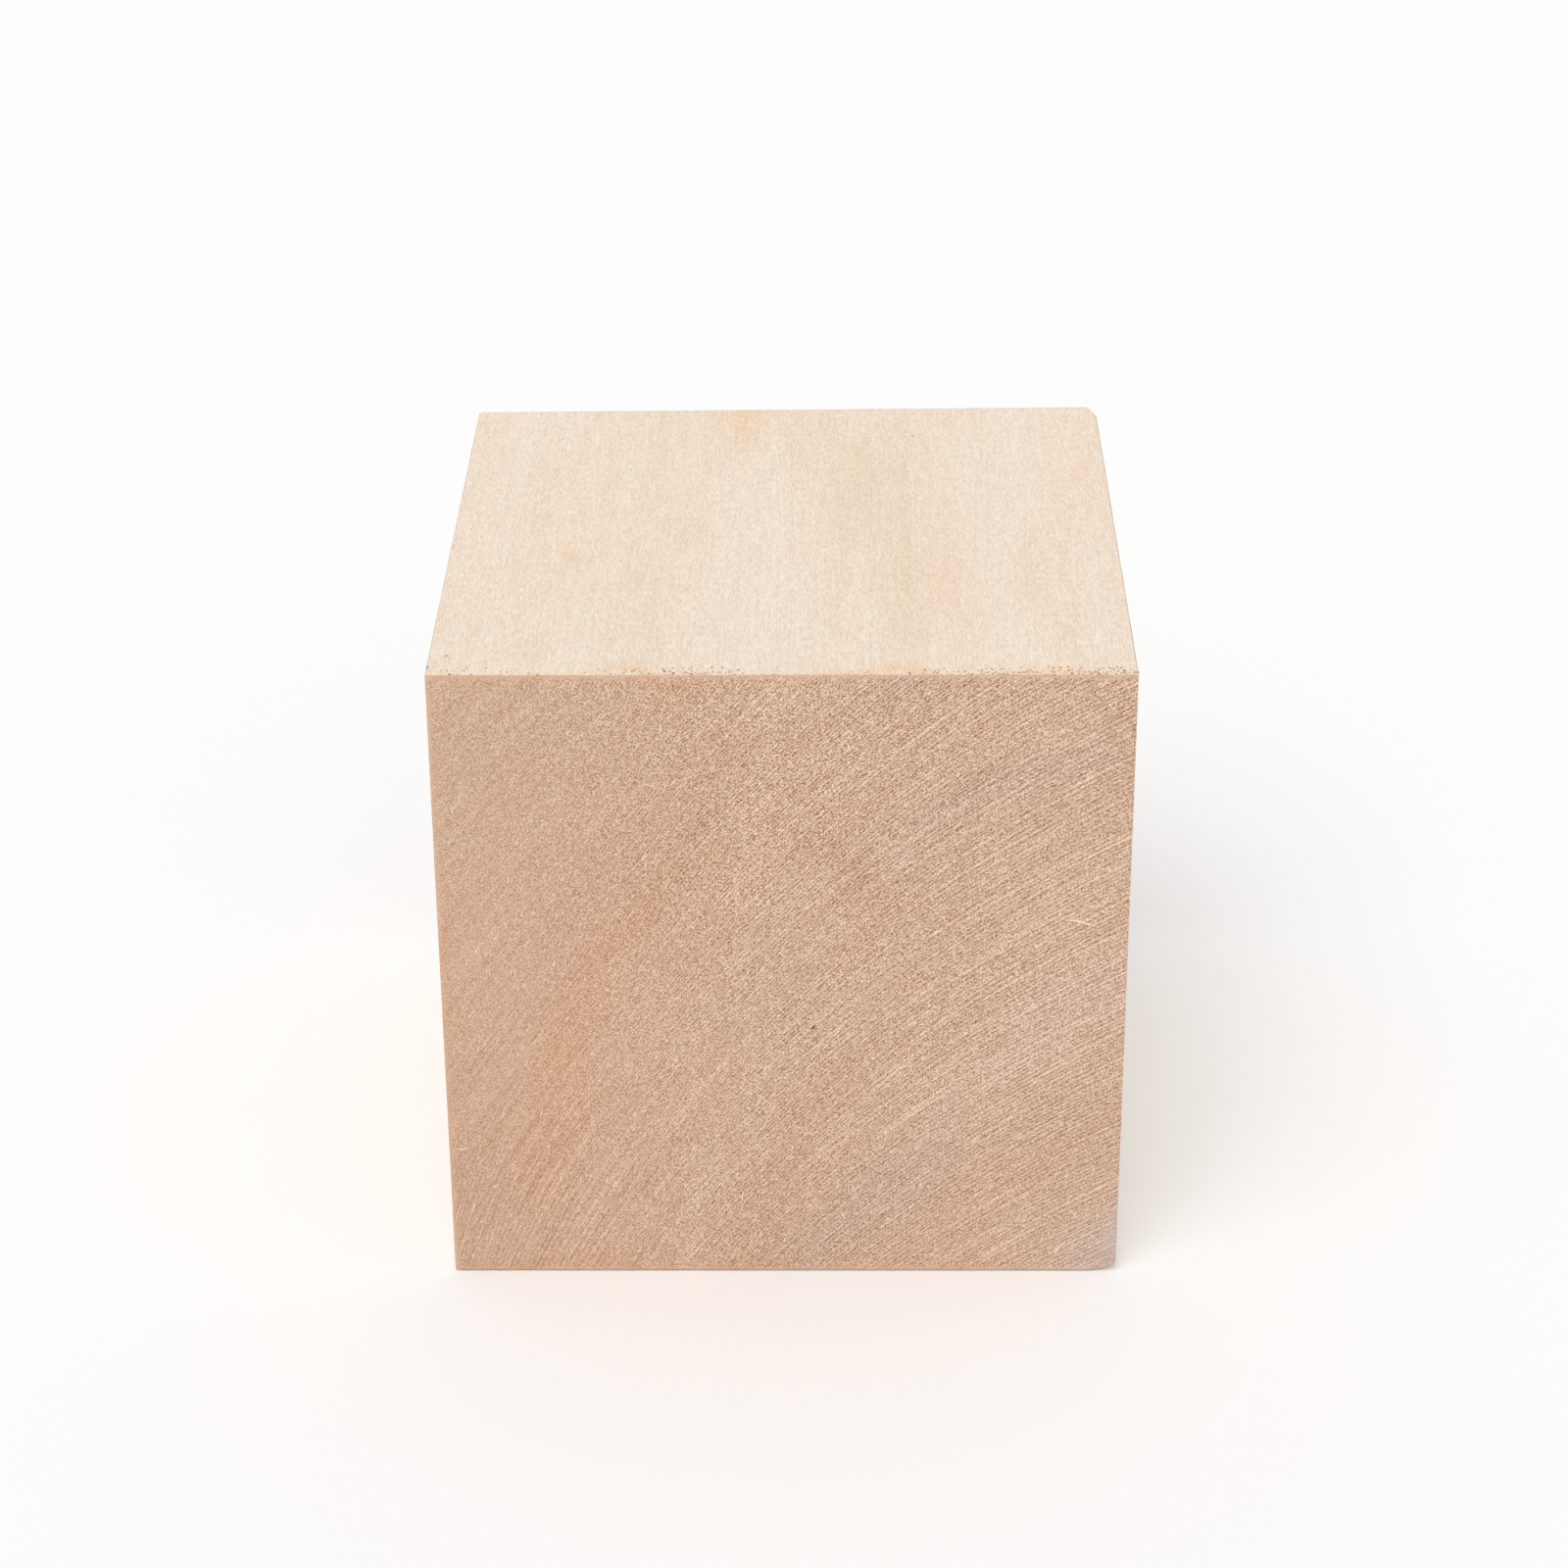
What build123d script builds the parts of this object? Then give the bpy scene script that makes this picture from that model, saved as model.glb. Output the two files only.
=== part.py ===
from build123d import *
import os

# A solid cube of pale, fine-grained wood, cut with a circular saw and worn at three corners.
# The origin is the middle of the resting face. +Z is up and -Y is the front.
# The wood's fibres run along Y, so the front and the back are end grain.

# Driving dimensions, in millimetres
width = 100.0  # left side to right side
height = 100.0  # resting face to top
depth_left = 98.9  # front to back along the left side
depth_right = 100.7  # front to back along the right side, because the back cut is out of square
arris_radius = 0.4  # easing left by light sanding on every edge

# Worn foot at the front right corner of the resting face: how far it reaches along each edge
foot_reach_x = 7.0
foot_reach_y = 6.0
foot_reach_z = 2.0

# Rounded corner at the back right of the top
round_reach_x = 2.4
round_reach_y = 7.0
round_reach_z = 5.0

# Slightly eased corner at the back left of the top
ease_reach_x = 1.4
ease_reach_y = 1.8
ease_reach_z = 1.4

# Places worked out from the driving dimensions
left = -width / 2
right = width / 2
front = -max(depth_left, depth_right) / 2
back_left = front + depth_left
back_right = front + depth_right


def sawn_block():
    # The plan is a square with its back edge a little askew, raised to the full height.
    plan = make_face(
        Polyline(
            (left, front),
            (right, front),
            (right, back_right),
            (left, back_left),
            close=True,
        )
    )
    return extrude(plan, height)


def worn_away(corner, inward, reach):
    # The wood missing at one corner. The surface that is left is part of an ellipsoid that passes
    # through each of the three edges at its reach, where it is in line with the face beside it,
    # so each face ends in a quarter ellipse and the wear dies out along the edges.
    overrun = min(reach)  # the cutting box passes the faces by this much
    centre = Vector(*(c + d * r for c, d, r in zip(corner, inward, reach)))
    middle = Vector(*(c + d * (r - overrun) / 2 for c, d, r in zip(corner, inward, reach)))
    sides = [r + overrun for r in reach]
    ellipsoid = Pos(centre) * scale(Sphere(2**0.5), by=tuple(reach))
    return Pos(middle) * Box(*sides) - ellipsoid


def worn_corners():
    foot = worn_away(
        (right, front, 0),
        (-1, 1, 1),
        (foot_reach_x, foot_reach_y, foot_reach_z),
    )
    rounded = worn_away(
        (right, back_right, height),
        (-1, -1, -1),
        (round_reach_x, round_reach_y, round_reach_z),
    )
    eased = worn_away(
        (left, back_left, height),
        (1, -1, -1),
        (ease_reach_x, ease_reach_y, ease_reach_z),
    )
    return [foot, rounded, eased]


block = sawn_block()
block = fillet(block.edges(), arris_radius)
for missing_wood in worn_corners():
    block -= missing_wood

os.makedirs("parts", exist_ok=True)
export_step(block.solid(), "parts/wooden_cube.step")
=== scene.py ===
import math
import random

import bmesh
import bpy
import numpy as np
from mathutils import Matrix, Vector
from mathutils.bvhtree import BVHTree


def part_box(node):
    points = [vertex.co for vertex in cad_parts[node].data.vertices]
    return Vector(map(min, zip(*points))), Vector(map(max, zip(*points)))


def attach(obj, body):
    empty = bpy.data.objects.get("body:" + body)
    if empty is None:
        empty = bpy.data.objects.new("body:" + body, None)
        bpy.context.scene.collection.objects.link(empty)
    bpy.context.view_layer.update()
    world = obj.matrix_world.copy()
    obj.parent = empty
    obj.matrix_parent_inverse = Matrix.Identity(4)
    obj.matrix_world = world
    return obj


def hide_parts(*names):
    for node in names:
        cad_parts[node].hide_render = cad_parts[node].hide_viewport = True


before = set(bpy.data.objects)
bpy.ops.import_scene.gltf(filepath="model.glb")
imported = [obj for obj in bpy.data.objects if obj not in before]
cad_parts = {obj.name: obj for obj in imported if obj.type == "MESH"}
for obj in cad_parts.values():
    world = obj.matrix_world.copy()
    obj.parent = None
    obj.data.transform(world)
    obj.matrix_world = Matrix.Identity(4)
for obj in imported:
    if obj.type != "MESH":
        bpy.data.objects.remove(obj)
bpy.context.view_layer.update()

low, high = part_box("wooden_cube")
width, depth, height = high - low
mm = 0.001
tiny = 1e-9  # places closer than this are one

# the back cut is a little askew, so the left side's depth is read from the solid
leftEdge = [v.co.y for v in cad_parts["wooden_cube"].data.vertices if v.co.x < low.x + mm]
leftDepth = max(leftEdge) - low.y

# the saw that cut both end-grain faces: its arcs repeat up the face
saw = {
    "radius": 2.0 * width,  # of the blade
    "centreX": low.x + 1.95 * width,  # the blade's centre, to the right of the block
}

# the growth rings that its ends show, nearly along the saw arcs at the middle
rings = {
    "radius": 2.0 * width,  # at the middle of the face
    "centreX": low.x + 1.95 * width,
    "centreZ": low.z - 0.88 * height,
}

# the mesh of the block
block = {
    "arris": 0.4 * mm,  # easing of the edges
    "arrisSplit": 0.59,  # where an eased edge has its middle row of points, as a share of it
    "rowPitch": 0.2 * mm,  # between the rows of faces that follow the saw arcs
    "rowShift": 0.37,  # of a row, which keeps the rows off the face's corners
    "columns": 26,  # across a sawn face, besides those near its edges
    "nearSides": (1.0 * mm, 2.2 * mm, 4.5 * mm),  # where those are
    "slices": 12,  # front to back, besides those near the ends
    "nearEnds": (1.2 * mm, 2.6 * mm, 4.6 * mm, 7.5 * mm),  # and where these are
    "wornCorners": [  # where, as a share of the box, and how far the wear reaches each way
        {"at": (1, 0, 0), "reach": (7.0 * mm, 6.0 * mm, 2.0 * mm)},
        {"at": (1, 1, 1), "reach": (2.4 * mm, 7.0 * mm, 5.0 * mm)},
        {"at": (0, 1, 1), "reach": (1.4 * mm, 1.8 * mm, 1.4 * mm)},
    ],
}


def linear(r, g, b):
    # a colour as a picture shows it, 0 to 255, as Blender's linear colour
    def one(c):
        c /= 255
        return c / 12.92 if c <= 0.04045 else ((c + 0.055) / 1.055) ** 2.4
    return (one(r), one(g), one(b), 1.0)


def addNode(tree, kind, inputs=None, **settings):
    # a node with its settings, and a value or a link for each input named or numbered
    node = tree.nodes.new(kind)
    for name, value in settings.items():
        setattr(node, name, value)
    for name, value in (inputs or {}).items():
        if isinstance(value, bpy.types.NodeSocket):
            tree.links.new(value, node.inputs[name])
        else:
            node.inputs[name].default_value = value
    return node


def calc(tree, operation, a, b=0.0, c=0.0, clamp=False):
    # the result of a Math node
    inputs = {0: a, 1: b, 2: c}
    return addNode(tree, "ShaderNodeMath", inputs, operation=operation, use_clamp=clamp).outputs[0]


def smoothRange(tree, value, start, end, first=0.0, last=1.0):
    inputs = {"Value": value, "From Min": start, "From Max": end, "To Min": first, "To Max": last}
    return addNode(tree, "ShaderNodeMapRange", inputs, interpolation_type="SMOOTHSTEP").outputs[0]


def noise(tree, vector, scale, detail=2.0, roughness=0.5):
    inputs = {"Vector": vector, "Scale": scale, "Detail": detail, "Roughness": roughness}
    return addNode(tree, "ShaderNodeTexNoise", inputs).outputs[0]


def vectorCalc(tree, operation, inputs):
    # the result of a Vector Math node
    outputs = addNode(tree, "ShaderNodeVectorMath", inputs, operation=operation).outputs
    return outputs["Value"] if operation in ("DOT_PRODUCT", "LENGTH") else outputs[0]


def split(tree, vector):
    return addNode(tree, "ShaderNodeSeparateXYZ", {0: vector}).outputs


def joined(tree, x, y, z):
    return addNode(tree, "ShaderNodeCombineXYZ", {0: x, 1: y, 2: z}).outputs[0]


def stretched(tree, vector, sizes):
    # the vector in units of a pattern's own size each way, so that a noise of scale 1 has that grain
    return vectorCalc(tree, "MULTIPLY", {0: vector, 1: tuple(1 / s for s in sizes)})


def newTree(name, kind, inputs, outputs):
    # an empty tree with named sockets, and its two end nodes
    tree = bpy.data.node_groups.new(name, kind)
    for label, socket, value in inputs:
        made = tree.interface.new_socket(label, in_out="INPUT", socket_type=socket)
        if value is not None:
            made.default_value = value
    for label, socket in outputs:
        tree.interface.new_socket(label, in_out="OUTPUT", socket_type=socket)
    return tree, tree.nodes.new("NodeGroupInput"), tree.nodes.new("NodeGroupOutput")


def geometryTree(name, sizes, material):
    # an empty tree for a mesh: its sizes are named inputs, and the last input takes its material
    inputs = [("Geometry", "NodeSocketGeometry", None)]
    for label, value in sizes.items():
        inputs.append((label, "NodeSocketInt" if label == "Seed" else "NodeSocketFloat", value))
    inputs.append((material, "NodeSocketMaterial", None))
    tree, start, end = newTree(name, "GeometryNodeTree", inputs, [("Geometry", "NodeSocketGeometry")])
    position = tree.nodes.new("GeometryNodeInputPosition").outputs[0]
    normal = tree.nodes.new("GeometryNodeInputNormal").outputs[0]
    return tree, start.outputs, end.inputs[0], position, normal


def sawLean(tree, x, radius, centreX):
    # how steep the saw arcs are at a place across the face, and how close to level
    steep = calc(tree, "DIVIDE", calc(tree, "SUBTRACT", centreX, x), radius)
    level = calc(tree, "SQRT", calc(tree, "SUBTRACT", 1.0, calc(tree, "MULTIPLY", steep, steep)))
    return steep, level


def sawCoordinates(tree, position, radius, centreX):
    # how far along its arc a point is, how far up the face its arc is, and the arc's closeness to level
    x, y, z = split(tree, position)
    steep, level = sawLean(tree, x, radius, centreX)
    across = calc(tree, "SUBTRACT", z, calc(tree, "MULTIPLY", level, radius))
    along = calc(tree, "MULTIPLY", calc(tree, "ARCSINE", steep), radius)
    return joined(tree, along, y, across), level


def arcRise(x):
    return math.sqrt(saw["radius"] ** 2 - (saw["centreX"] - x) ** 2)


def spacedLines(start, end, count, nearEdge):
    # places from start to end: some close to each end, where edges and corners curve, and the rest even
    inner = np.linspace(start + nearEdge[-1], end - nearEdge[-1], count)
    return [*(start + s for s in nearEdge), *inner[1:-1], *(end - s for s in reversed(nearEdge))]


def sawnFace(columns, levels):
    # faces between the saw arcs and the columns, cut to the square: points (x, z), and loops of their numbers
    numbers, points, loops = {}, [], []

    def point(key, x, z):
        if key not in numbers:
            numbers[key] = len(points)
            points.append((x, z))
        return numbers[key]

    rises = [arcRise(x) for x in columns]
    pitch = block["rowPitch"]
    firstRow = math.floor((low.z - rises[-1]) / pitch) - block["rowShift"]
    rowCount = math.ceil((high.z - low.z + rises[-1] - rises[0]) / pitch) + 2
    for i in range(len(columns) - 1):
        for k in range(rowCount):
            row, nextRow = (firstRow + k) * pitch, (firstRow + k + 1) * pitch
            if nextRow + rises[i + 1] <= low.z or row + rises[i] >= high.z:
                continue
            corners = [(i, k, row), (i + 1, k, row), (i + 1, k + 1, nextRow), (i, k + 1, nextRow)]
            ring = []
            for c in range(4):
                (a, rowA, zA), (b, rowB, zB) = corners[c], corners[(c + 1) % 4]
                zA, zB = zA + rises[a], zB + rises[b]
                ring.append(((a, rowA), columns[a], zA))
                crossed = [(j, level) for j, level in enumerate(levels) if (zA - level) * (zB - level) < 0]
                for j, level in crossed if zA < zB else reversed(crossed):
                    share = (level - zA) / (zB - zA)
                    x = columns[a] + share * (columns[b] - columns[a])
                    ring.append((("row", rowA, j) if rowA == rowB else ("column", a, j), x, level))
            for bottom, top in zip(levels, levels[1:]):
                loop = [p for p in ring if bottom - tiny <= p[2] <= top + tiny]
                if len(loop) > 2:
                    loops.append([point(*p) for p in loop])
    return points, loops


def outlineOf(points):
    # the numbers of the points on the square's edge, once round: bottom, right, top, left
    def on(axis, value):
        return [n for n, p in enumerate(points) if abs(p[axis] - value) < tiny]
    ring = sorted(on(1, low.z), key=lambda n: points[n][0])[:-1]
    ring += sorted(on(0, high.x), key=lambda n: points[n][1])[:-1]
    ring += sorted(on(1, high.z), key=lambda n: -points[n][0])[:-1]
    ring += sorted(on(0, low.x), key=lambda n: -points[n][1])[:-1]
    return ring


def easeEdges(places):
    # rounds every edge of the square block, turns the back askew and wears the corners, as on the solid
    arris = block["arris"]
    inner = np.clip(places, np.array(low) + arris, np.array(high) - arris)
    off = places - inner
    places = inner + arris * off / np.linalg.norm(off, axis=1)[:, None]
    sideDepth = leftDepth + (depth - leftDepth) * (places[:, 0] - low.x) / width
    places[:, 1] = low.y + (places[:, 1] - low.y) * sideDepth / depth
    # each worn corner follows an ellipsoid through the three places on its edges where the wear ends
    for worn in block["wornCorners"]:
        corner = np.array(low) + np.array(worn["at"]) * np.array((width, depth, height))
        if worn["at"][:2] == (0, 1):
            corner[1] = low.y + leftDepth
        reach = np.array(worn["reach"])
        centre = corner + (1 - 2 * np.array(worn["at"])) * reach
        scaled = (places - centre) / reach
        outward = scaled * (2 * np.array(worn["at"]) - 1) > 0
        far = np.linalg.norm(scaled, axis=1)
        hit = outward.all(axis=1) & (far > math.sqrt(2))
        places[hit] = centre + scaled[hit] / far[hit][:, None] * math.sqrt(2) * reach
    return places


def blockMesh():
    # two sawn ends whose faces follow the saw arcs, and four long-grain sides between their outlines
    arris = block["arris"]
    edgeBand = [0, block["arrisSplit"] * arris, arris]
    columns = spacedLines(low.x, high.x, block["columns"], [*edgeBand, *block["nearSides"]])
    levels = [*(low.z + s for s in edgeBand), *(high.z - s for s in reversed(edgeBand))]
    slices = spacedLines(low.y, high.y, block["slices"], [*edgeBand, *block["nearEnds"]])
    points, loops = sawnFace(columns, levels)
    ring = outlineOf(points)
    places = [(x, low.y, z) for x, z in points] + [(x, high.y, z) for x, z in points]
    faces = loops + [[n + len(points) for n in reversed(loop)] for loop in loops]
    before = ring
    for y in slices[1:]:
        if y < high.y:
            after = list(range(len(places), len(places) + len(ring)))
            places += [(points[n][0], y, points[n][1]) for n in ring]
        else:
            after = [n + len(points) for n in ring]
        for i in range(len(ring)):
            j = (i + 1) % len(ring)
            faces.append([before[j], before[i], after[i], after[j]])
        before = after
    mesh = bpy.data.meshes.new("block")
    mesh.from_pydata(easeEdges(np.array(places)).tolist(), [], faces)
    mesh.validate()
    mesh.shade_smooth()
    return mesh


relief = {  # how deep each kind of mark goes, and its size along and across
    "Set Back": 0.16 * mm,  # of every surface, so that fibres and crumbs on it stay inside the solid
    "Saw Radius": saw["radius"],
    "Saw Centre": saw["centreX"],
    "Score Depth": 0.02 * mm,
    "Score Length": 45.0 * mm,
    "Score Width": 0.75 * mm,
    "Score Change": 70.0,  # into the wood, per metre
    "Wave Depth": 0.06 * mm,
    "Wave Size": 14.0 * mm,
    "Grain Depth": 0.025 * mm,
    "Grain Width": 0.5 * mm,
    "Grain Change": 60.0,  # along the fibres, per metre
    "Fray Depth": 0.16 * mm,
    "Fray Size": 1.1 * mm,
}

# where each kind of mark begins and where it is whole
reliefRanges = {
    "sawn": (0.7, 0.95),  # how squarely a face looks to the front or the back
    "scored": (0.25, 0.75),  # these three are levels of a noise
    "raised": (0.3, 0.7),
    "frayed": (0.42, 0.75),
    "edge": (0.97, 0.8),  # how squarely a face looks along any axis
}


def reliefTree():
    # presses saw scores into the ends, raised grain into the sides and nibbles into the edges, all inwards
    tree, get, out, position, normal = geometryTree("cutAndWear", relief, "Wood")
    sawn = smoothRange(tree, calc(tree, "ABSOLUTE", split(tree, normal)[1]), *reliefRanges["sawn"])

    arcs, level = sawCoordinates(tree, position, get["Saw Radius"], get["Saw Centre"])
    along, y, across = split(tree, arcs)
    scoreAlong = calc(tree, "DIVIDE", along, get["Score Length"])
    scoreInto = calc(tree, "MULTIPLY", y, get["Score Change"])
    scoreAcross = calc(tree, "DIVIDE", across, get["Score Width"])
    scored = noise(tree, joined(tree, scoreAlong, scoreInto, scoreAcross), 1.0, 3.0, 0.6)
    scored = smoothRange(tree, scored, *reliefRanges["scored"])
    # where the arcs crowd they are shallower
    scored = calc(tree, "MULTIPLY", scored, sawn)
    scored = calc(tree, "MULTIPLY", scored, calc(tree, "MULTIPLY", level, level))
    scoreDepth = calc(tree, "MULTIPLY", scored, get["Score Depth"])

    x, y, z = split(tree, position)
    grainAcross = calc(tree, "DIVIDE", x, get["Grain Width"])
    grainAlong = calc(tree, "MULTIPLY", y, get["Grain Change"])
    grainUp = calc(tree, "DIVIDE", z, get["Grain Width"])
    raised = noise(tree, joined(tree, grainAcross, grainAlong, grainUp), 1.0, 2.0)
    raised = smoothRange(tree, raised, *reliefRanges["raised"])
    raised = calc(tree, "MULTIPLY", raised, calc(tree, "SUBTRACT", 1.0, sawn))
    grainDepth = calc(tree, "MULTIPLY", raised, get["Grain Depth"])

    waves = noise(tree, position, calc(tree, "DIVIDE", 1.0, get["Wave Size"]), 1.0)
    waveDepth = calc(tree, "MULTIPLY", waves, get["Wave Depth"])

    # an edge is where the normal leans between two axes
    nx, ny, nz = split(tree, vectorCalc(tree, "ABSOLUTE", {0: normal}))
    straight = calc(tree, "MAXIMUM", calc(tree, "MAXIMUM", nx, ny), nz)
    onEdge = smoothRange(tree, straight, *reliefRanges["edge"])
    nibbles = noise(tree, position, calc(tree, "DIVIDE", 1.0, get["Fray Size"]), 2.0)
    frayed = calc(tree, "MULTIPLY", smoothRange(tree, nibbles, *reliefRanges["frayed"]), onEdge)
    frayDepth = calc(tree, "MULTIPLY", frayed, get["Fray Depth"])

    total = get["Set Back"]
    for part in (scoreDepth, grainDepth, waveDepth, frayDepth):
        total = calc(tree, "ADD", total, part)
    push = vectorCalc(tree, "SCALE", {0: normal, "Scale": calc(tree, "MULTIPLY", total, -1.0)})
    moved = addNode(tree, "GeometryNodeSetPosition", {"Geometry": get["Geometry"], "Offset": push}).outputs[0]
    finishTree(tree, moved, get["Wood"], out)
    return tree


def finishTree(tree, geometry, material, out):
    realized = addNode(tree, "GeometryNodeRealizeInstances", {"Geometry": geometry}).outputs[0]
    painted = addNode(tree, "GeometryNodeSetMaterial", {"Geometry": realized, "Material": material})
    tree.links.new(painted.outputs[0], out)


def addPiece(name, mesh):
    piece = bpy.data.objects.new(name, mesh)
    bpy.context.scene.collection.objects.link(piece)
    return piece


def grown(name, carrier, tree, values):
    # what a tree makes of an object, as a plain mesh piece at the origin
    modifier = carrier.modifiers.new(tree.name, "NODES")
    modifier.node_group = tree
    for item in tree.interface.items_tree:
        if item.item_type == "SOCKET" and item.in_out == "INPUT" and item.name in values:
            modifier[item.identifier] = values[item.name]
    made = bpy.data.meshes.new_from_object(carrier.evaluated_get(bpy.context.evaluated_depsgraph_get()))
    carrier.modifiers.remove(modifier)
    made.name = name
    return addPiece(name, made)


# what the camera sees of the colours
paint = {
    "sawn": linear(219, 184, 158),  # end grain
    "planed": linear(240, 222, 202),  # long grain
}

# the size of each pattern's grain: on the ends along it, into the wood and across it, and on the sides
# across, along and across the fibres; ridges and teeth follow the saw arcs, and the others the growth rings
grain = {
    "fine": {"ends": (0.2 * mm, 3 * mm, 0.12 * mm), "sides": (0.16 * mm, 1.3 * mm, 0.16 * mm)},
    "middle": {"ends": (0.8 * mm, 5 * mm, 0.26 * mm), "sides": (0.34 * mm, 7 * mm, 0.34 * mm)},
    "wide": {"ends": (40 * mm, 60 * mm, 3.0 * mm), "sides": (5.5 * mm, 110 * mm, 5.5 * mm)},
    "ridges": (16 * mm, 40 * mm, 0.3 * mm),
    "reeds": (24 * mm, 40 * mm, 0.36 * mm),
    "teeth": {  # of the saw
        "pitch": 0.76 * mm,
        "wander": (25 * mm, 40 * mm, 2.5 * mm),
        "sway": 12.0,  # how far they wander, in radians, where a tooth is a full turn
        "few": 0.4,  # as close as this where only some of them show
    },
}

# how marks fade over the front: from one share of its width or height to another, and their strength there
fades = {
    "torn": {"across": (0.0, 0.5, 0.55, 1.0)},  # all that the saw left is fainter on the left half
    "bands": {"across": (0.0, 0.6, 0.4, 1.0)},  # and so are the wide bands of the rings
    "reeds": {"across": (0.1, 0.55, 1.0, 0.0), "up": (0.1, 0.8, 1.0, 0.5)},
    "fewTeeth": {"across": (0.12, 0.38, 0.7, 0.0), "up": (0.1, 0.35, 1.0, 0.0)},
}

# how strongly each mark shows, in the colour and in the bumps
shows = {
    # the ridges are real relief in the bumps, and their share of the sawn tone paints them paler, a painted
    # highlight where light catches them
    "sawnTone": {"fine": 2.6, "ridges": 0.3, "teeth": 0.17, "fewTeeth": 0.2, "reeds": 0.9, "even": -0.06},
    "planedTone": {"fine": 0.42, "middle": 0.2},
    "sawnBump": {"fine": 0.8, "ridges": 0.2, "teeth": 0.3, "fewTeeth": 0.45, "reeds": 0.22},
    "planedBump": {"fine": 0.3},
}

# the rest of the bare wood's look
finish = {
    "sawnLean": (0.5, 0.8),  # how squarely a face looks to the front or the back, to have the sawn colour
    "edgeLean": 0.7,  # and halfway round an edge
    "edgeSpan": (0.03, 0.25),  # how far off that the bumps begin and are whole
    "tornStreak": 0.12,  # what a torn streak adds to the saw's marks
    "rim": (0.3 * mm, 1.3 * mm, 0.35, 1.0),  # how far in from an edge they fade, and what is left there
    "rubbed": -0.7,  # what a lilac patch takes from them
    "ridges": (0.57, 0.73),  # where in their noise the ridges rise
    "specks": (0.74, 1.0, 1.25),  # how a speck shares out over red, green and blue
    "sideBands": (0.05, 0.10, 0.19),  # and a wide band on the sides
    "endBands": (0.05, 0.07, 0.11),  # and on the ends
    "bump": 0.15 * mm,
    "roughness": (-0.2, 0.2, 0.95, 0.8),  # from the darkest specks to the brightest
    "gloss": 0.3,  # of loose wood too
}

# what all streaks share
streaks = {
    "intoFront": 1.5,  # how far those of the front run into the wood, as a share of its depth
    "intoTop": 0.05,  # how far those of the top go down, as a share of its height
    "wander": (12 * mm, 20 * mm, 12 * mm),  # the room that they wander in
    "wanderScale": 60.0,
    "wanderStretch": (1, 6, 1),  # slowly along the grain
    "speck": 0.006,  # thinner ones than this share of the width stay where they are set
}

# colours that a streak in the wood multiplies into it
tints = {
    "orange": (1.02, 0.90, 0.80, 1),
    "brown": (0.93, 0.88, 0.85, 1),
    "pink": (1.02, 0.96, 0.96, 1),
    "olive": (0.97, 0.95, 0.86, 1),
    "pale": (1.04, 1.09, 1.15, 1),
    "slate": (0.93, 0.97, 1.05, 1),
    "dark": (0.34, 0.27, 0.22, 1),
    "lilac": (0.98, 1.06, 1.20, 1),
}

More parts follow.
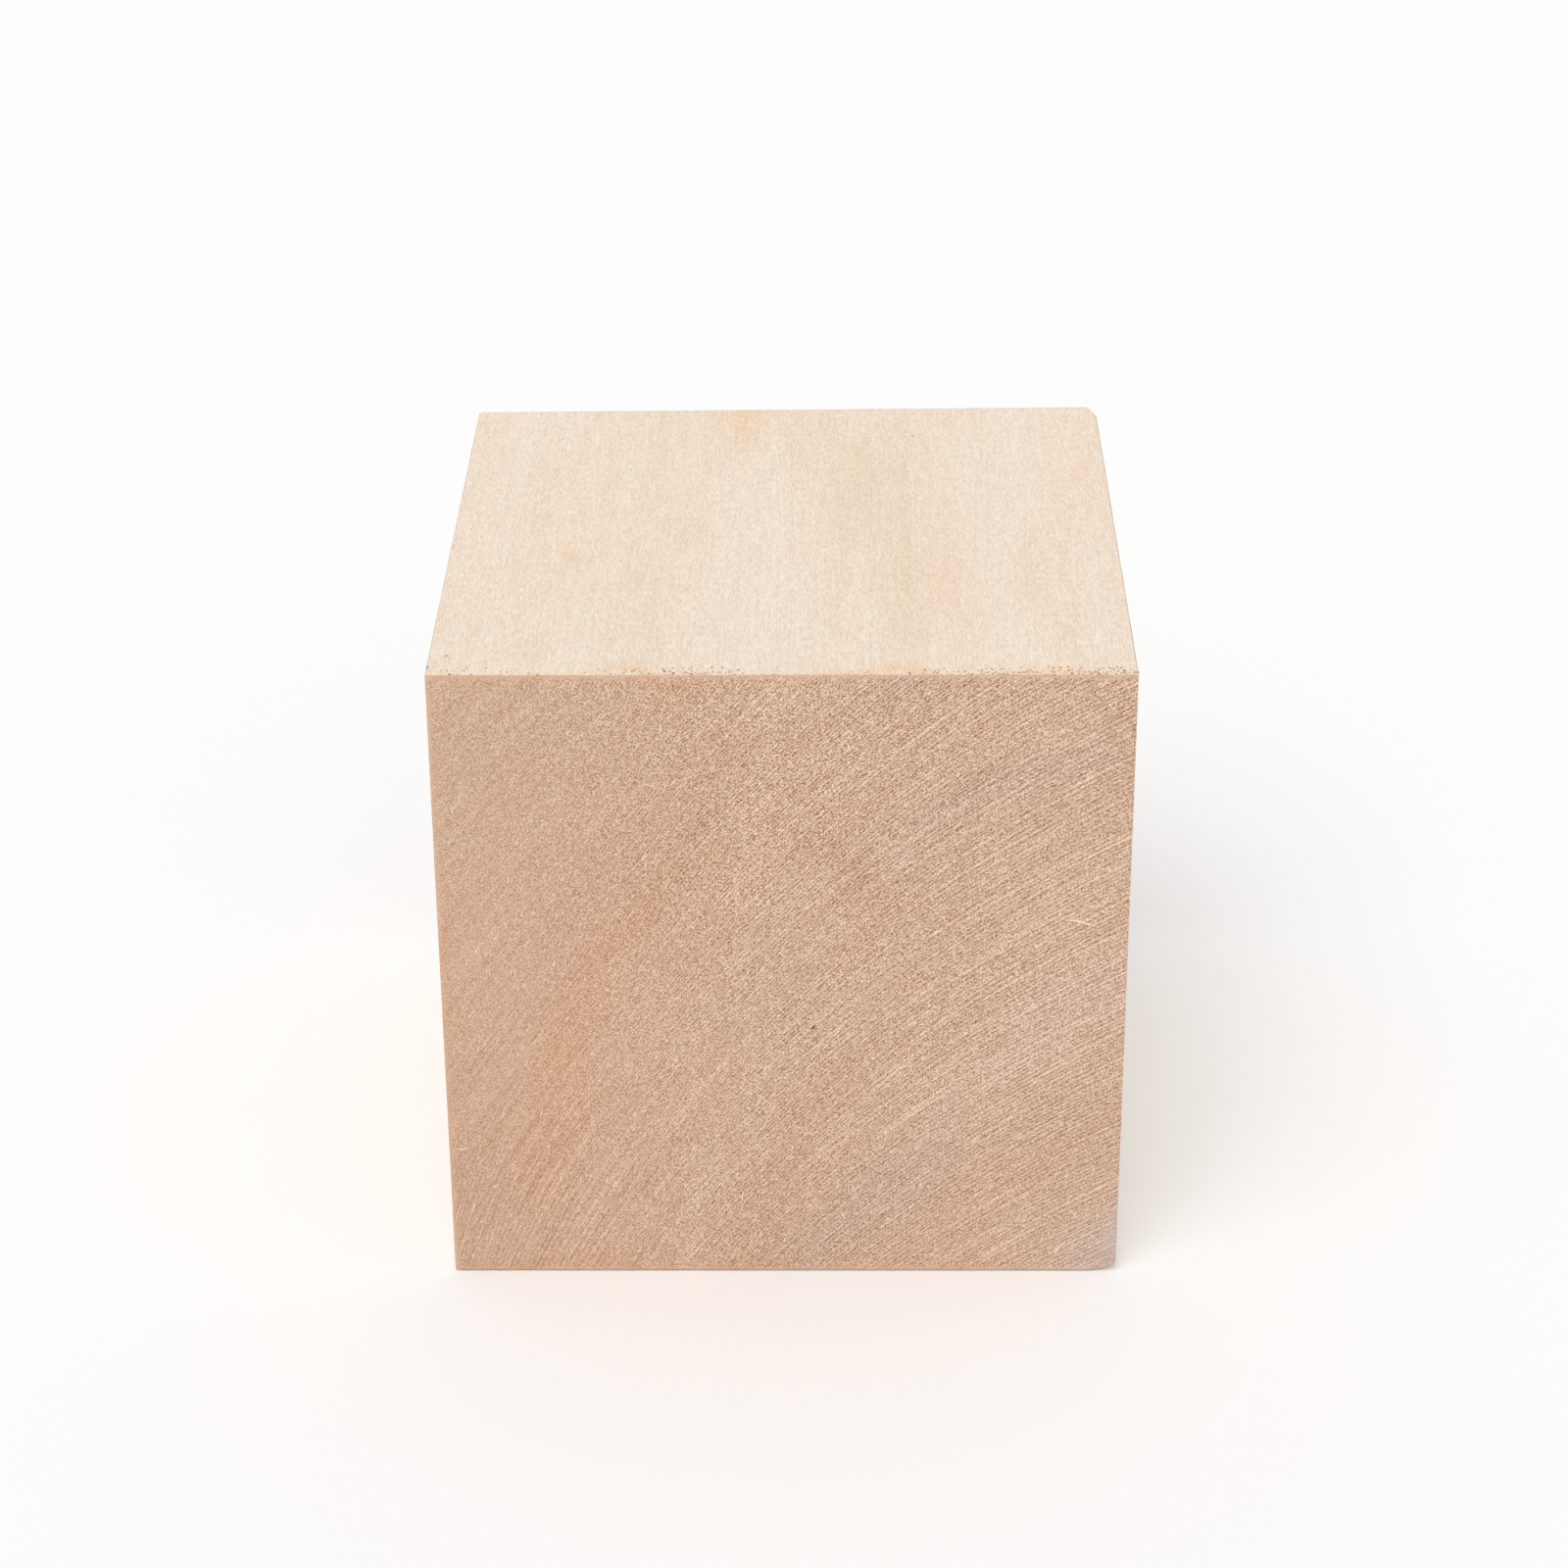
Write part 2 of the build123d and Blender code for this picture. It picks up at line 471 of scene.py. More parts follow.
# streaks on the front: centre across and up, half length and half width, all as shares of the face, then the
# tilt from level in degrees, and the tint and its strength
frontStreaks = {
    "warm left": {"at": (0.12, 0.33), "size": (0.62, 0.36), "tilt": 70, "tint": ("orange", 0.3)},
    "brown left": {"at": (0.05, 0.24), "size": (0.30, 0.16), "tilt": 85, "tint": ("brown", 0.25)},
    "orange band, low": {"at": (0.17, 0.27), "size": (0.24, 0.075), "tilt": 74, "tint": ("orange", 0.35)},
    "orange band, high": {"at": (0.25, 0.50), "size": (0.26, 0.07), "tilt": 65, "tint": ("orange", 0.4)},
    "orange band, end": {"at": (0.36, 0.66), "size": (0.16, 0.05), "tilt": 55, "tint": ("orange", 0.2)},
    "brown above it": {"at": (0.30, 0.70), "size": (0.34, 0.10), "tilt": 55, "tint": ("brown", 0.5)},
    "brown, top middle": {"at": (0.44, 0.86), "size": (0.10, 0.07), "tilt": 45, "tint": ("brown", 0.35)},
    "orange, top edge": {"at": (0.34, 0.99), "size": (0.10, 0.07), "tilt": 0, "tint": ("orange", 0.12)},
    "pink stripe": {"at": (0.40, 0.60), "size": (0.30, 0.05), "tilt": 57, "tint": ("pink", 0.5)},
    "dark streak": {"at": (0.585, 0.68), "size": (0.14, 0.06), "tilt": -52, "tint": ("brown", 1.0)},
    "orange start of it": {"at": (0.51, 0.77), "size": (0.05, 0.035), "tilt": -45, "tint": ("orange", 0.3)},
    "pale patch, low left": {"at": (0.33, 0.38), "size": (0.16, 0.09), "tilt": 80, "tint": ("pale", 0.35)},
    "pale patch, middle": {"at": (0.47, 0.49), "size": (0.14, 0.09), "tilt": 50, "tint": ("slate", 0.35)},
    "pale ring, low": {"at": (0.37, 0.12), "size": (0.22, 0.03), "tilt": 80, "tint": ("pale", 0.5)},
    "pale ring, middle": {"at": (0.47, 0.33), "size": (0.18, 0.03), "tilt": 55, "tint": ("pale", 0.4)},
    "pale ring, high": {"at": (0.63, 0.50), "size": (0.18, 0.03), "tilt": 55, "tint": ("pale", 0.5)},
    "brown band, low": {"at": (0.46, 0.10), "size": (0.22, 0.075), "tilt": 78, "tint": ("brown", 0.6)},
    "brown band, middle": {"at": (0.54, 0.30), "size": (0.14, 0.06), "tilt": 55, "tint": ("brown", 0.35)},
    "brown band, high": {"at": (0.68, 0.41), "size": (0.12, 0.045), "tilt": 40, "tint": ("brown", 0.35)},
    "cool right": {"at": (0.98, 0.50), "size": (0.62, 0.34), "tilt": 38, "tint": ("pale", 0.55)},
    "pale diagonal": {"at": (0.85, 0.42), "size": (0.40, 0.09), "tilt": 38, "tint": ("pale", 0.45)},
    "slate diagonal": {"at": (0.63, 0.12), "size": (0.30, 0.10), "tilt": 45, "tint": ("slate", 0.8)},
    "slate, right of it": {"at": (0.67, 0.72), "size": (0.16, 0.09), "tilt": 40, "tint": ("slate", 0.35)},
    "cool corner": {"at": (0.98, 0.02), "size": (0.30, 0.22), "tilt": 45, "tint": ("pale", 0.8)},
    "brown line, right": {"at": (0.88, 0.21), "size": (0.30, 0.045), "tilt": 42, "tint": ("brown", 0.35)},
    "slate, top right": {"at": (0.85, 0.84), "size": (0.30, 0.06), "tilt": 22, "tint": ("slate", 0.7)},
    "slate, top": {"at": (0.70, 0.97), "size": (0.16, 0.05), "tilt": 15, "tint": ("slate", 0.5)},
    "pale top": {"at": (0.53, 0.95), "size": (0.16, 0.07), "tilt": 0, "tint": ("pale", 0.4)},
    "olive, left": {"at": (0.14, 0.80), "size": (0.24, 0.16), "tilt": 60, "tint": ("olive", 0.25)},
    "torn, up the ring": {"at": (0.50, 0.78), "size": (0.42, 0.10), "tilt": 42, "tint": ("torn", 0.9)},
    "torn, right": {"at": (0.82, 0.52), "size": (0.25, 0.08), "tilt": 35, "tint": ("torn", 0.7)},
    "torn, low right": {"at": (0.90, 0.26), "size": (0.26, 0.07), "tilt": 48, "tint": ("torn", 1.0)},
    "torn, middle": {"at": (0.54, 0.43), "size": (0.10, 0.08), "tilt": 40, "tint": ("torn", 0.7)},
    # these rims along the eased edges are burnished wood and painted shade of the rounded edges, in an orange
    # tint
    "burnished and shaded rim, left": {"at": (0.0, 0.42), "size": (0.50, 0.014), "tilt": 90, "tint": ("orange", 0.8)},
    "burnished and shaded rim, bottom": {"at": (0.22, 0.0), "size": (0.5, 0.014), "tilt": 0, "tint": ("orange", 0.55)},
    "worn corner": {"at": (1.0, 0.0), "size": (0.16, 0.10), "tilt": 60, "tint": ("slate", 1.0)},
    "rubbed corner": {"at": (1.0, 0.0), "size": (0.15, 0.09), "tilt": 60, "tint": ("lilac", 0.25)},
    "worn patch": {"at": (1.012, 0.05), "size": (0.08, 0.02), "tilt": 90, "tint": ("lilac", 0.7)},
    "speck": {"at": (0.5432, 0.4273), "size": (0.0052, 0.0034), "tilt": 55, "tint": ("dark", 3.0)},
    # burnished wood and painted shade of the rounded top edge, in an orange tint
    "burnished and shaded rim, top": {"at": (0.28, 1.0), "size": (0.42, 0.012), "tilt": 0, "tint": ("orange", 0.7)},
}

# streaks on the top: centre across and back, half length along the grain and half width, and tint again
topStreaks = {
    "thin streak": {"at": (0.185, 0.70), "size": (0.42, 0.022), "tint": ("orange", 0.38)},
    "its dark end": {"at": (0.186, 0.395), "size": (0.055, 0.030), "tint": ("orange", 0.8)},
    "its dark heart": {"at": (0.187, 0.385), "size": (0.022, 0.014), "tint": ("dark", 0.05)},
    "orange patch": {"at": (0.425, 1.0), "size": (0.19, 0.095), "tint": ("orange", 0.8)},
    "its taper": {"at": (0.435, 0.86), "size": (0.16, 0.035), "tint": ("orange", 0.4)},
    "pink stripe": {"at": (0.335, 0.78), "size": (0.26, 0.045), "tint": ("pink", 0.55)},
    "brown patch": {"at": (0.345, 0.49), "size": (0.12, 0.06), "tint": ("brown", 0.3)},
    "pink line": {"at": (0.285, 0.46), "size": (0.11, 0.02), "tint": ("pink", 0.7)},
    "front stripe": {"at": (0.315, 0.15), "size": (0.32, 0.055), "tint": ("brown", 0.25)},
    "pale back left": {"at": (0.12, 0.95), "size": (0.30, 0.12), "tint": ("pale", 0.3)},
    "pale left of middle": {"at": (0.25, 0.85), "size": (0.40, 0.05), "tint": ("pale", 0.25)},
    "pale stripe": {"at": (0.47, 0.62), "size": (0.30, 0.10), "tint": ("pale", 0.25)},
    "pale field": {"at": (0.47, 0.20), "size": (0.35, 0.10), "tint": ("pale", 0.22)},
    "pale right": {"at": (0.82, 0.85), "size": (0.50, 0.12), "tint": ("pale", 0.4)},
    "woolly band, back": {"at": (0.61, 0.78), "size": (0.42, 0.15), "tint": ("olive", 0.45)},
    "woolly band, middle": {"at": (0.63, 0.60), "size": (0.40, 0.14), "tint": ("brown", 0.35)},
    "woolly band, front": {"at": (0.67, 0.30), "size": (0.38, 0.14), "tint": ("olive", 0.4)},
    "pink beside it": {"at": (0.745, 0.38), "size": (0.40, 0.06), "tint": ("pink", 0.7)},
    "brown in the woolly band": {"at": (0.68, 0.22), "size": (0.24, 0.08), "tint": ("brown", 0.3)},
    "orange line in it": {"at": (0.74, 0.28), "size": (0.22, 0.025), "tint": ("orange", 0.25)},
    "right stripe": {"at": (0.875, 0.28), "size": (0.36, 0.035), "tint": ("olive", 0.5)},
    "right stripe, pink": {"at": (0.87, 0.40), "size": (0.26, 0.03), "tint": ("pink", 0.5)},
    "right edge": {"at": (0.96, 0.72), "size": (0.28, 0.035), "tint": ("pink", 0.9)},
    "left edge": {"at": (0.02, 0.82), "size": (0.10, 0.03), "tint": ("pink", 0.6)},
    "grey speck": {"at": (0.7, 0.875), "size": (0.007, 0.004), "tint": ("dark", 0.6)},
    "speck, front left": {"at": (0.027, 0.064), "size": (0.006, 0.004), "tint": ("dark", 0.8)},
    "speck beside it": {"at": (0.032, 0.055), "size": (0.005, 0.003), "tint": ("dark", 0.5)},
    "nick": {"at": (0.003, 0.026), "size": (0.010, 0.004), "tint": ("dark", 0.8)},
    "front edge, right": {"at": (0.80, 0.0), "size": (0.07, 0.35), "tint": ("orange", 0.35)},
    "front edge": {"at": (0.6, 0.0), "size": (0.03, 0.8), "tint": ("orange", 0.8)},
}


def streakGroup():
    # how much of a streak a place has: a soft ellipsoid in the wood
    inputs = [(label, "NodeSocketVector", None) for label in ("Vector", "Centre", "Turn", "Size")]
    inputs += [("Amount", "NodeSocketFloat", 1.0)]
    tree, start, end = newTree("streak", "ShaderNodeTree", inputs, [("Mask", "NodeSocketFloat")])
    get = start.outputs
    own = addNode(tree, "ShaderNodeMapping", {
        "Vector": get["Vector"], "Location": get["Centre"], "Rotation": get["Turn"], "Scale": get["Size"],
    }, vector_type="TEXTURE").outputs[0]
    inside = calc(tree, "SUBTRACT", 1.0, vectorCalc(tree, "DOT_PRODUCT", {0: own, 1: own}), clamp=True)
    mask = calc(tree, "MULTIPLY", calc(tree, "MULTIPLY", inside, inside), get["Amount"])
    tree.links.new(mask, end.inputs[0])
    return tree


def arcGroup():
    # a place's coordinates along and across the saw arcs
    inputs = [("Vector", "NodeSocketVector", None), ("Radius", "NodeSocketFloat", saw["radius"])]
    inputs += [("Centre", "NodeSocketFloat", saw["centreX"])]
    outputs = [("Arcs", "NodeSocketVector"), ("Level", "NodeSocketFloat")]
    tree, start, end = newTree("sawArcs", "ShaderNodeTree", inputs, outputs)
    arcs, level = sawCoordinates(tree, *start.outputs[:3])
    tree.links.new(arcs, end.inputs[0])
    tree.links.new(level, end.inputs[1])
    return tree


def ringGroup():
    # a place's coordinates around and across the growth rings
    inputs = [("Vector", "NodeSocketVector", None)]
    for label, value in (("Centre X", "centreX"), ("Centre Z", "centreZ"), ("Radius", "radius")):
        inputs.append((label, "NodeSocketFloat", rings[value]))
    tree, start, end = newTree("growthRings", "ShaderNodeTree", inputs, [("Rings", "NodeSocketVector")])
    get = start.outputs
    x, y, z = split(tree, get["Vector"])
    left, up = calc(tree, "SUBTRACT", get["Centre X"], x), calc(tree, "SUBTRACT", z, get["Centre Z"])
    far = vectorCalc(tree, "LENGTH", {0: joined(tree, left, up, 0.0)})
    around = calc(tree, "MULTIPLY", calc(tree, "ARCTAN2", left, up), get["Radius"])
    tree.links.new(joined(tree, around, y, far), end.inputs[0])
    return tree


def mixColour(tree, blend, factor, a, b):
    node = addNode(tree, "ShaderNodeMix", {0: factor, 6: a, 7: b}, data_type="RGBA", blend_type=blend)
    return node.outputs[2]


def streakMasks(tree, place, sawn, planed):
    # how much of each tint a place has
    slow = stretched(tree, place, streaks["wanderStretch"])
    drift = {"Vector": slow, "Scale": streaks["wanderScale"], "Detail": 1.0}
    drift = addNode(tree, "ShaderNodeTexNoise", drift).outputs[1]
    drift = vectorCalc(tree, "SUBTRACT", {0: drift, 1: (0.5, 0.5, 0.5)})
    wandering = vectorCalc(tree, "MULTIPLY_ADD", {0: drift, 1: streaks["wander"], 2: place})
    group = streakGroup()
    found = {}

    def addStreak(streak, centre, turn, size, within):
        tint, amount = streak["tint"]
        start = place if min(size) < streaks["speck"] * width else wandering
        inputs = {"Vector": start, "Centre": centre, "Turn": turn, "Size": size, "Amount": amount}
        mask = addNode(tree, "ShaderNodeGroup", inputs, node_tree=group).outputs[0]
        key = (within, tint)
        found[key] = calc(tree, "ADD", found[key], mask) if key in found else mask

    for s in frontStreaks.values():
        centre = (low.x + s["at"][0] * width, low.y, low.z + s["at"][1] * height)
        size = (s["size"][0] * width, streaks["intoFront"] * depth, s["size"][1] * width)
        addStreak(s, centre, (0, -math.radians(s["tilt"]), 0), size, "ends")
    for s in topStreaks.values():
        centre = (low.x + s["at"][0] * width, low.y + s["at"][1] * depth, high.z)
        size = (s["size"][1] * width, s["size"][0] * depth, streaks["intoTop"] * height)
        addStreak(s, centre, (0, 0, 0), size, "sides")
    masks = {}
    for tint in [*tints, "torn"]:
        ends = calc(tree, "MULTIPLY", found.get(("ends", tint), 0.0), sawn)
        masks[tint] = calc(tree, "MULTIPLY_ADD", found.get(("sides", tint), 0.0), planed, ends, clamp=True)
    return masks


def fade(tree, mark, across, up):
    # how strongly a mark shows at a place on the front
    spans = {"across": (across, low.x, width), "up": (up, low.z, height)}
    parts = []
    for way, (start, stop, first, last) in fades[mark].items():
        place, origin, size = spans[way]
        parts.append(smoothRange(tree, place, origin + start * size, origin + stop * size, first, last))
    return parts[0] if len(parts) == 1 else calc(tree, "MULTIPLY", *parts)


def woodMarks(tree, place, onEnd, across, up):
    # specks and bands of the grain, and what the saw left on the ends: ridges, its teeth's marks and reeds
    arcs, level = addNode(tree, "ShaderNodeGroup", {"Vector": place}, node_tree=arcGroup()).outputs
    ringPlace = addNode(tree, "ShaderNodeGroup", {"Vector": place}, node_tree=ringGroup()).outputs[0]

    def grained(sizes, detail):
        # one noise that has its own grain on the ends and on the sides
        onEnds = stretched(tree, ringPlace, sizes["ends"])
        both = {0: onEnd, 4: stretched(tree, place, sizes["sides"]), 5: onEnds}
        vector = addNode(tree, "ShaderNodeMix", both, data_type="VECTOR").outputs[1]
        return calc(tree, "SUBTRACT", noise(tree, vector, 1.0, detail), 0.5)

    marks = {"even": 1.0}
    for name, detail in (("fine", 0.0), ("middle", 1.0), ("wide", 1.0)):
        marks[name] = grained(grain[name], detail)
    ridges = noise(tree, stretched(tree, arcs, grain["ridges"]), 1.0, 0.0)
    ridges = smoothRange(tree, ridges, *finish["ridges"])
    marks["ridges"] = calc(tree, "MULTIPLY", ridges, level)  # where the arcs crowd they are fainter
    teeth = grain["teeth"]
    wander = noise(tree, stretched(tree, arcs, teeth["wander"]), 1.0, 0.0)
    cut = calc(tree, "DIVIDE", split(tree, arcs)[2], teeth["pitch"] / (2 * math.pi))
    cut = calc(tree, "MULTIPLY_ADD", wander, teeth["sway"], cut)
    marks["teeth"] = calc(tree, "MULTIPLY", calc(tree, "SINE", cut), level)
    # on the left only a few of the teeth show, near the bottom, and reeds show above them
    few = calc(tree, "SINE", calc(tree, "MULTIPLY", cut, teeth["few"]))
    marks["fewTeeth"] = calc(tree, "MULTIPLY", few, fade(tree, "fewTeeth", across, up))
    reeds = noise(tree, stretched(tree, ringPlace, grain["reeds"]), 1.0, 1.0)
    reeds = calc(tree, "SUBTRACT", reeds, 0.5)
    marks["reeds"] = calc(tree, "MULTIPLY", reeds, fade(tree, "reeds", across, up))
    return marks


def woodMaterial():
    material = bpy.data.materials.new("bareWood")
    material.use_nodes = True
    tree = material.node_tree
    shader = tree.nodes["Principled BSDF"]
    coordinates = tree.nodes.new("ShaderNodeTexCoord").outputs
    place = coordinates["Object"]
    facing = calc(tree, "ABSOLUTE", split(tree, coordinates["Normal"])[1])
    sawn = smoothRange(tree, facing, *finish["sawnLean"])
    onEnd = calc(tree, "GREATER_THAN", facing, finish["edgeLean"])
    offEdge = calc(tree, "ABSOLUTE", calc(tree, "SUBTRACT", facing, finish["edgeLean"]))
    offEdge = smoothRange(tree, offEdge, *finish["edgeSpan"])
    planed = calc(tree, "SUBTRACT", 1.0, sawn)
    masks = streakMasks(tree, place, sawn, planed)

    # a narrow rim along the left, top and bottom edges is rubbed smooth
    across, _, up = split(tree, place)
    torn = calc(tree, "MULTIPLY_ADD", masks["torn"], finish["tornStreak"], fade(tree, "torn", across, up))
    rim = calc(tree, "MINIMUM", calc(tree, "SUBTRACT", across, low.x), calc(tree, "SUBTRACT", up, low.z))
    rim = calc(tree, "MINIMUM", rim, calc(tree, "SUBTRACT", high.z, up))
    ragged = smoothRange(tree, rim, *finish["rim"])
    torn = calc(tree, "MULTIPLY", torn, calc(tree, "MULTIPLY_ADD", masks["lilac"], finish["rubbed"], ragged))
    marks = woodMarks(tree, place, onEnd, across, up)

    def weighted(strengths):
        # the sum of marks, each by its own strength
        total = 0.0
        for name, strength in strengths.items():
            total = calc(tree, "MULTIPLY_ADD", marks[name], strength, total)
        return total

    sawnTone = calc(tree, "MULTIPLY", weighted(shows["sawnTone"]), torn)
    planedTone = weighted(shows["planedTone"])
    colour = mixColour(tree, "MIX", sawn, paint["planed"], paint["sawn"])
    for name in tints:
        colour = mixColour(tree, "MULTIPLY", masks[name], colour, tints[name])
    # bright specks are paler and dark ones deeper in colour, and wide bands shift it between cool and warm
    tone = addNode(tree, "ShaderNodeMix", {0: sawn, 2: planedTone, 3: sawnTone}, data_type="FLOAT").outputs[0]
    tone = vectorCalc(tree, "SCALE", {0: finish["specks"], "Scale": tone})
    bands = {0: sawn, 4: finish["sideBands"], 5: finish["endBands"]}
    bands = addNode(tree, "ShaderNodeMix", bands, data_type="VECTOR").outputs[1]
    wide = calc(tree, "MAXIMUM", fade(tree, "bands", across, up), planed)
    wide = calc(tree, "MULTIPLY", marks["wide"], wide)
    tone = vectorCalc(tree, "ADD", {0: tone, 1: vectorCalc(tree, "SCALE", {0: bands, "Scale": wide})})
    tone = vectorCalc(tree, "MULTIPLY_ADD", {0: colour, 1: tone, 2: colour})
    tree.links.new(tone, shader.inputs["Base Color"])

    onSawn = calc(tree, "MULTIPLY", weighted(shows["sawnBump"]), ragged)
    rise = addNode(tree, "ShaderNodeMix", {0: onEnd, 2: weighted(shows["planedBump"]), 3: onSawn}).outputs[0]
    rise = calc(tree, "MULTIPLY", rise, offEdge)
    bump = addNode(tree, "ShaderNodeBump", {"Height": rise, "Distance": finish["bump"], "Strength": 1.0})
    tree.links.new(bump.outputs[0], shader.inputs["Normal"])
    tree.links.new(smoothRange(tree, marks["fine"], *finish["roughness"]), shader.inputs["Roughness"])
    shader.inputs["Specular IOR Level"].default_value = finish["gloss"]
    return material


def makeBlock(wood):
    carrier = addPiece("blockBlank", blockMesh())
    made = grown("block", carrier, reliefTree(), {**relief, "Wood": wood})
    bpy.data.objects.remove(carrier)
    return made


looseFibres = {  # short ones that the saw left lying along its arcs on both ends
    "Saw Radius": saw["radius"],
    "Saw Centre": saw["centreX"],
    "Left": low.x,
    "Right": high.x,
    "Bottom": low.z,
    "Top": high.z,
    "Margin": 1.8 * mm,  # kept free along the edges
    "Density": 260000.0,  # most to a square metre
    "Sparse": 0.4,  # the share of it at the left side; it is full from the middle on
    "Length": 0.9 * mm,
    "Shortest": 0.4,  # as a share of it
    "Longest": 1.5,
    "Width": 0.13 * mm,
    "Thickness": 0.08 * mm,
    "Stray": 0.3,  # how far they turn from the arcs
    "Flat": 0.97,  # how squarely the wood under them looks to the front or the back
    "Seed": 7,
}


def randomBetween(tree, least, most, seed):
    inputs = {2: least, 3: most, "Seed": seed}
    return addNode(tree, "FunctionNodeRandomValue", inputs, data_type="FLOAT").outputs[1]


def looseFibreTree():
    tree, get, out, position, normal = geometryTree("looseFibres", looseFibres, "Fibre")
    x, _, z = split(tree, position)
    onEnds = calc(tree, "GREATER_THAN", calc(tree, "ABSOLUTE", split(tree, normal)[1]), get["Flat"])
    gap = calc(tree, "SUBTRACT", x, get["Left"])
    for a, b in ((get["Right"], x), (z, get["Bottom"]), (get["Top"], z)):
        gap = calc(tree, "MINIMUM", gap, calc(tree, "SUBTRACT", a, b))
    middle = calc(tree, "MULTIPLY", calc(tree, "ADD", get["Left"], get["Right"]), 0.5)
    density = smoothRange(tree, x, get["Left"], middle, get["Sparse"], 1.0)
    scattered = addNode(tree, "GeometryNodeDistributePointsOnFaces", {
        "Mesh": get["Geometry"],
        "Selection": onEnds,
        "Density": calc(tree, "MULTIPLY", density, get["Density"]),
        "Seed": get["Seed"],
    })
    kept = addNode(tree, "GeometryNodeDeleteGeometry", {
        "Geometry": scattered.outputs[0], "Selection": calc(tree, "LESS_THAN", gap, get["Margin"]),
    }).outputs[0]

    # each lies along its arc, or a little off it
    steep, level = sawLean(tree, x, get["Saw Radius"], get["Saw Centre"])
    stray = calc(tree, "MULTIPLY", randomBetween(tree, -1.0, 1.0, get["Seed"]), get["Stray"])
    alongX = calc(tree, "SUBTRACT", level, calc(tree, "MULTIPLY", stray, steep))
    along = joined(tree, alongX, 0.0, calc(tree, "MULTIPLY_ADD", stray, level, steep))
    turn = addNode(tree, "FunctionNodeAxesToRotation", {
        "Primary Axis": along, "Secondary Axis": scattered.outputs["Normal"],
    }, primary_axis="Z", secondary_axis="X").outputs[0]
    length = randomBetween(tree, get["Shortest"], get["Longest"], calc(tree, "ADD", get["Seed"], 1.0))
    own = joined(tree, get["Thickness"], get["Width"], calc(tree, "MULTIPLY", length, get["Length"]))
    spike = addNode(tree, "GeometryNodeMeshCone", {
        "Vertices": 4, "Radius Top": 0.15, "Radius Bottom": 0.5, "Depth": 1.0,
    }).outputs[0]
    placed = addNode(tree, "GeometryNodeInstanceOnPoints", {
        "Points": kept, "Instance": spike, "Rotation": turn, "Scale": own,
    }).outputs[0]
    finishTree(tree, placed, get["Fibre"], out)
    return tree


crumbs = {  # specks of torn wood just behind the front's top edge
    "Left": low.x,
    "Right": high.x,
    "Front": low.y,
    "Reach": 2.0 * mm,  # from the edge
    "Density": 4800000.0,  # most to a square metre
    "Size": 0.34 * mm,
    "Thickness": 0.1 * mm,
    "Flat": 0.9,  # how squarely the wood under them looks up
    "Seed": 3,
}

crumbSpread = {  # where they are, as shares of the width, and how their sizes vary
    "patch": ((0.22, 0.34), (0.48, 0.38)),  # left of the middle: where it comes up, and where it goes
    "right": (0.62, 0.8),  # most of them are to the right of this
    "elsewhere": 0.12,  # the share of them
    "smallest": (0.5, 0.5, 0.4),
    "largest": (1.5, 1.5, 1.0),
}


def crumbTree():
    tree, get, out, position, normal = geometryTree("crumbs", crumbs, "Torn Wood")
    x, y, _ = split(tree, position)
    onTop = calc(tree, "GREATER_THAN", split(tree, normal)[2], get["Flat"])
    far = calc(tree, "DIVIDE", calc(tree, "SUBTRACT", y, get["Front"]), get["Reach"])
    near = calc(tree, "SUBTRACT", 1.0, far, clamp=True)
    span = calc(tree, "SUBTRACT", get["Right"], get["Left"])
    across = calc(tree, "DIVIDE", calc(tree, "SUBTRACT", x, get["Left"]), span)
    comes, goes = crumbSpread["patch"]
    patch = calc(tree, "MULTIPLY", smoothRange(tree, across, *comes), smoothRange(tree, across, *goes))
    share = calc(tree, "MAXIMUM", patch, smoothRange(tree, across, *crumbSpread["right"]))
    share = calc(tree, "MULTIPLY", calc(tree, "MAXIMUM", share, crumbSpread["elsewhere"]), near)
    scattered = addNode(tree, "GeometryNodeDistributePointsOnFaces", {
        "Mesh": get["Geometry"],
        "Selection": calc(tree, "MULTIPLY", onTop, calc(tree, "GREATER_THAN", near, 0.0)),
        "Density": calc(tree, "MULTIPLY", share, get["Density"]),
        "Seed": get["Seed"],
    })
    spread = addNode(tree, "FunctionNodeRandomValue", {
        0: crumbSpread["smallest"], 1: crumbSpread["largest"], "Seed": get["Seed"],
    }, data_type="FLOAT_VECTOR").outputs[0]
    size = joined(tree, get["Size"], get["Size"], get["Thickness"])
    size = vectorCalc(tree, "MULTIPLY", {0: size, 1: spread})
    speck = addNode(tree, "GeometryNodeMeshIcoSphere", {"Radius": 0.5, "Subdivisions": 1}).outputs[0]
    placed = addNode(tree, "GeometryNodeInstanceOnPoints", {
        "Points": scattered.outputs[0], "Instance": speck, "Scale": size,
    }).outputs[0]
    finishTree(tree, placed, get["Torn Wood"], out)
    return tree


